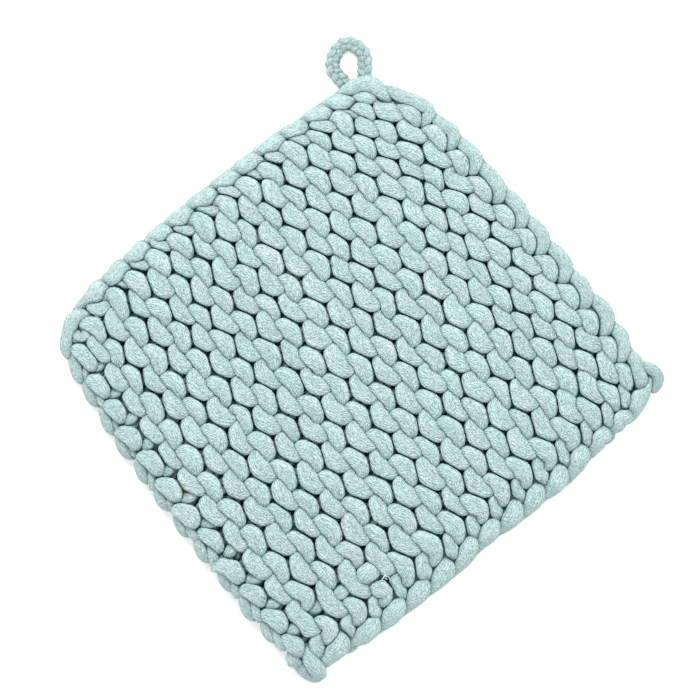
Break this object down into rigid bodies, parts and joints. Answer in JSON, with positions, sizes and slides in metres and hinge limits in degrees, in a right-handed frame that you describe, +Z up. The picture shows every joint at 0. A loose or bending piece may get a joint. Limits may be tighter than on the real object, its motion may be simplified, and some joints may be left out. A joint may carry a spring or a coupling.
{
  "type": "knitted pot holder",
  "caption": "Square pot holder knitted in garter stitch from thick soft cotton cord, lying flat, with a small hanging loop at one corner.",
  "frame": {"origin": "middle of the flat underside of the knitted square", "axes": "+Z up, square to the cloth, towards its right side; +X along the garter ridges; +Y from the cast-on edge to the bind-off edge"},
  "size_m": [0.2148, 0.2139, 0.0146],
  "materials": {
    "square_cotton": "matt many-stranded cotton cord, pale aqua",
    "loop_cotton": "matt thin knitted cotton cord, pale aqua",
    "ends_cotton": "matt many-stranded cotton cord, pale aqua"
  },
  "bodies": {
    "root": {"knitted_square": "square_cotton", "hanging_loop": "loop_cotton", "bind_off_end": "ends_cotton", "cast_on_end": "ends_cotton"}
  },
  "joints": []
}
